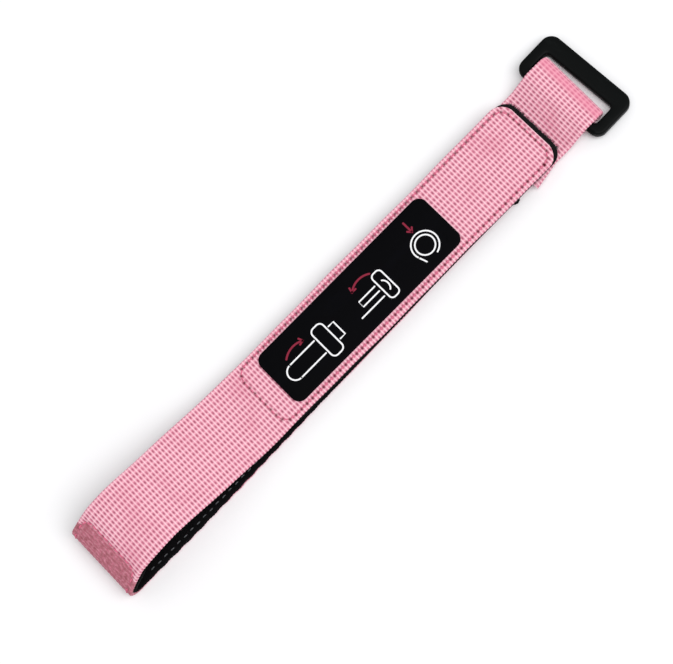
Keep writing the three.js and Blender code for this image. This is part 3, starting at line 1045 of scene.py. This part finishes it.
def build_ring():
    """The moulded ring: a wide far bar, narrower sides and a round bar in the webbing eye."""
    inner_middle = (RING_NEAR_INNER + RING_FAR_INNER) / 2
    # Ordered by angle, each inner point pairs with the outer point at the same share of its side.
    outer_edges = (RING_NEAR_EDGE, RING_FAR_EDGE, RING_HALF)
    outer = outline_points(*outer_edges, RING_CORNERS, RING_MIDDLE, RING_REACH)
    inner_edges = (RING_NEAR_INNER, RING_FAR_INNER, RING_INNER_HALF)
    inner = outline_points(*inner_edges, RING_INNER_CORNERS, inner_middle, RING_INNER_REACH)
    around = np.linspace(0, 2 * math.pi, SECTION_POINTS, endpoint=False)
    cosine, sine = np.cos(around), np.sin(around)
    rings = []
    for out_point, in_point in zip(outer, inner):
        centre = (out_point + in_point) / 2
        reach = (out_point - in_point) / 2
        from_side = np.clip((RING_INNER_HALF - abs(centre[1])) / SQUARING_LENGTH, 0, 1)
        in_eye = np.clip(1.0 - centre[0], 0, 1) * from_side
        power = 2 / (SQUARE_POWER - (SQUARE_POWER - ROUND_POWER) * in_eye)
        flat = np.sign(cosine) * np.abs(cosine) ** power
        tall = np.sign(sine) * np.abs(sine) ** power
        plan = centre[None] + reach[None] * flat[:, None]
        rings.append(np.column_stack([plan, tall * RING_THICKNESS / 2]))
    points = np.array(rings)
    points = np.concatenate([points, points[:1]])
    pivot = np.array(JOINTS["ring_swing"]["pos_m"]) / MM
    axis = np.array(JOINTS["ring_swing"]["axis"])
    yaw = math.atan2(axis[0], -axis[1])
    # It tilts down until its far edge rests on the ground.
    drop = RING_FAR_EDGE - RING_FAR_DROP
    half_thick = RING_THICKNESS / 2
    tilt = math.asin(pivot[2] / math.hypot(drop, half_thick)) - math.atan2(half_thick, drop)
    turn = Matrix.Rotation(yaw, 3, "Z") @ Matrix.Rotation(tilt, 3, "Y")
    points = points @ np.array(turn).T + pivot
    rows, sides = points.shape[:2]
    obj = make_object("ring_moulded", points, tube_faces(rows, sides, closed_ends=False))
    weld(obj)
    finish_piece(obj, "ring")
    attach(obj, "ring", "ring")


def weld(obj):
    """Joins points that lie on each other."""
    data = bmesh.new()
    data.from_mesh(obj.data)
    bmesh.ops.remove_doubles(data, verts=data.verts, dist=1e-6)
    bmesh.ops.recalc_face_normals(data, faces=data.faces)
    data.to_mesh(obj.data)
    data.free()


# ---- Label ----

LABEL_CORNER = 3.0


def build_label():
    """The patch, with a rounded edge in four steps, and the print on it."""
    start, end = low("label_patch"), high("label_patch")
    outline = rounded_rectangle(start[0], end[0], end[1], LABEL_CORNER, 12)[:-1]
    centre = np.array([(start[0] + end[0]) / 2, 0])
    levels = [(start[2] - 0.06, 0.0), (end[2] - 0.25, 0.0), (end[2] - 0.1, 0.06)]
    levels += [(end[2] - 0.03, 0.2), (end[2], 0.5)]
    rings = []
    for z, inset in levels:
        scale = 1 - inset / np.array([(end[0] - start[0]) / 2, end[1]])
        ring = centre + (outline - centre) * scale
        rings.append(np.column_stack([ring, np.full(len(ring), z)]))
    obj = make_object("label_moulded", np.concatenate(rings), tube_faces(len(levels), len(outline)))
    finish_piece(obj, "label")
    attach(obj, "tip", "label_patch")
    build_print(start[0], end[2])


def stroke(points, width, closed=False):
    """A flat line of ink of one width, with round ends, as points and faces."""
    points = np.asarray(points, float)
    forward = np.gradient(points, axis=0)
    if closed:
        forward = np.roll(points, -1, 0) - np.roll(points, 1, 0)
    forward /= np.linalg.norm(forward, axis=1, keepdims=True)
    side = np.stack([-forward[:, 1], forward[:, 0]], -1) * width / 2
    if closed:
        count = len(points)
        both = np.concatenate([points + side, points - side])
        i = np.arange(count)
        j = (i + 1) % count
        return both, [np.stack([i, i + count, j + count, j], -1)]
    cap = np.linspace(0, math.pi, 9)
    first = math.atan2(side[0, 1], side[0, 0])
    last = math.atan2(-side[-1, 1], -side[-1, 0])
    half = width / 2
    start = points[0] + half * np.stack([np.cos(first + cap), np.sin(first + cap)], -1)
    end = points[-1] + half * np.stack([np.cos(last + cap), np.sin(last + cap)], -1)
    ring = np.concatenate([start, (points - side)[1:-1], end, (points + side)[1:-1][::-1]])
    return ring, [np.arange(len(ring))[None]]


def arc(x, y, radius, start, end, squeeze=1.0):
    """Points on an arc between two angles in degrees, squeezed along X."""
    angle = np.radians(np.linspace(start, end, 24))
    return np.stack([x + radius * np.cos(angle) * squeeze, y + radius * np.sin(angle)], -1)


def oblong(x, y, width, height, radius):
    """A closed line round a small upright rectangle."""
    line = rounded_rectangle(-width / 2, width / 2, height / 2, radius, 6)[:-1]
    return line + np.array([x, y])


def arrow(x, y, heading):
    """The two short sides of an arrow head whose tip is at x, y."""
    sides = np.radians(np.array([heading + 142, heading, heading - 142]))
    reach = np.array([1.5, 0.0, 1.5])
    return np.stack([x + reach * np.cos(sides), y + reach * np.sin(sides)], -1)


def print_strokes():
    """Three plain drawings of a strap's use: into the ring, folded back, pressed round a roll."""
    line, accent = 0.48, 0.62
    into_ring = [
        (oblong(19.6, -1.8, 4.4, 11.0, 1.5), line, True),
        ([(6.4, -4.4), (16.6, -4.4)], line, False),
        ([(6.4, 0.8), (16.6, 0.8)], line, False),
        (arc(6.4, -1.8, 2.6, 90, 270), line, False),
        ([(22.6, -4.4), (24.6, -4.4), (24.6, 0.8), (22.6, 0.8)], line, False),
    ]
    folded_back = [
        (oblong(43.4, -2.4, 3.6, 9.6, 1.3), line, True),
        ([(31.4, -4.8), (40.6, -4.8)], line, False),
        (arc(42.6, -2.7, 2.1, -62, 62, 0.75), line, False),
        ([(40.6, -0.6), (34.0, -0.6), (34.0, -2.6), (40.6, -2.6)], line, False),
    ]
    pressed = [
        (arc(59.8, -2.6, 3.1, 0, 345), line, True),
        (arc(59.8, -2.6, 4.3, -75, 200), line, False),
        ([(55.8, -4.2), (56.6, -6.6)], line, False),
    ]
    crimson = [
        (arc(11.0, -2.4, 6.6, 60, 128), accent, False),
        (arrow(14.4, 3.3, -28), accent, False),
        (arc(38.6, -1.8, 6.2, 55, 130), accent, False),
        (arrow(34.6, 3.0, 218), accent, False),
        ([(59.8, 6.8), (59.8, 3.2)], accent, False),
        (arrow(59.8, 2.9, -90), accent, False),
    ]
    return {"ink_white": into_ring + folded_back + pressed, "ink_crimson": crimson}


def build_print(label_start, top):
    """The drawings as thin films of ink on the label, standing only just above it."""
    film = 0.05
    for level, (ink, strokes) in enumerate(print_strokes().items()):
        points, faces = [], {}
        count = 0
        base = top - 0.02
        lid = top + film - 0.015 * level
        for line, width, closed in strokes:
            flat, parts = stroke(line, width, closed)
            bottom = np.column_stack([flat, np.full(len(flat), base)])
            upper = np.column_stack([flat, np.full(len(flat), lid)])
            size = len(flat)
            for part in parts:
                faces.setdefault(part.shape[1], []).append(part[:, ::-1] + count)
                faces.setdefault(part.shape[1], []).append(part + count + size)
            loops = [(0, size // 2), (size // 2, size)] if closed else [(0, size)]
            for first, last in loops:
                i = np.arange(first, last)
                j = first + (i - first + 1) % (last - first)
                wall = np.stack([i, j, j + size, i + size], -1) + count
                faces.setdefault(4, []).append(wall)
            points += [bottom, upper]
            count += 2 * size
        points = np.concatenate(points) + np.array([label_start, 0, 0])
        joined = [np.concatenate(part) for part in faces.values()]
        obj = make_object(f"print_{ink}", points, joined, smooth=False)
        weld(obj)
        finish_piece(obj, ink)
        attach(obj, "tip")


# ---- Stage, lights and camera ----

CAMERA_AZIMUTH = 1.4
CAMERA_ELEVATION = 75.0
CAMERA_DISTANCE = 0.762
CAMERA_ROLL = 46.57       # the strap runs up to the right
CAMERA_TARGET = (-0.0059, -0.0004, 0.0)
FOCAL_LENGTH = 137.0
SENSOR_WIDTH = 36.0


def build_camera():
    """The camera from which the photograph was taken, as fitted to it."""
    azimuth, elevation = math.radians(CAMERA_AZIMUTH), math.radians(CAMERA_ELEVATION)
    out = Vector(
        (
            math.sin(azimuth) * math.cos(elevation),
            -math.cos(azimuth) * math.cos(elevation),
            math.sin(elevation),
        )
    )
    right = (-out).cross(Vector((0, 0, 1))).normalized()
    up = right.cross(-out)
    roll = math.radians(CAMERA_ROLL)
    turned_right = right * math.cos(roll) - up * math.sin(roll)
    turned_up = right * math.sin(roll) + up * math.cos(roll)
    data = bpy.data.cameras.new("camera")
    data.lens = FOCAL_LENGTH
    data.sensor_fit = "HORIZONTAL"
    data.sensor_width = SENSOR_WIDTH
    data.clip_start = 0.01
    camera = bpy.data.objects.new("camera", data)
    bpy.context.scene.collection.objects.link(camera)
    turn = Matrix((turned_right, turned_up, out)).transposed().to_4x4()
    camera.matrix_world = Matrix.Translation(Vector(CAMERA_TARGET) + out * CAMERA_DISTANCE) @ turn
    bpy.context.scene.camera = camera


def area_light(name, place, size, power):
    """A round white lamp that faces the strap."""
    data = bpy.data.lights.new(name, "AREA")
    data.shape = "DISK"
    data.size = size
    data.energy = power
    light = bpy.data.objects.new(name, data)
    bpy.context.scene.collection.objects.link(light)
    light.location = place
    light.rotation_euler = (-Vector(place)).to_track_quat("-Z", "Y").to_euler()


def build_stage():
    """The white floor, the even light round it and two lamps."""
    half = 3.0
    points = np.array([(-half, -half, 0), (half, -half, 0), (half, half, 0), (-half, half, 0)]) / MM
    floor = make_object("floor", points, [np.array([[0, 1, 2, 3]])])
    floor.location.z = -0.00002
    paper = Shader("floor_paper", (0.86, 0.86, 0.87, 1.0), 0.9)
    space = paper.node("ShaderNodeTexCoord").outputs["Object"]
    paper.bump(paper.noise(space, 900.0), 0.05, 0.1)
    floor.data.materials.append(paper.material)
    world = bpy.data.worlds.new("studio")
    world.use_nodes = True
    world.node_tree.nodes["Background"].inputs["Color"].default_value = (1, 1, 1, 1)
    world.node_tree.nodes["Background"].inputs["Strength"].default_value = 0.67
    bpy.context.scene.world = world
    area_light("key", (1.0, -1.2, 1.9), 1.7, 26.0)
    area_light("overhead", (0.15, -0.3, 2.3), 1.2, 15.0)
    bpy.context.scene.view_settings.view_transform = "Standard"
    bpy.context.scene.view_settings.look = "None"


build_camera()
build_webbing()
build_loop_tape()
build_hook_tape()
build_stitches()
build_ring()
build_label()
build_stage()
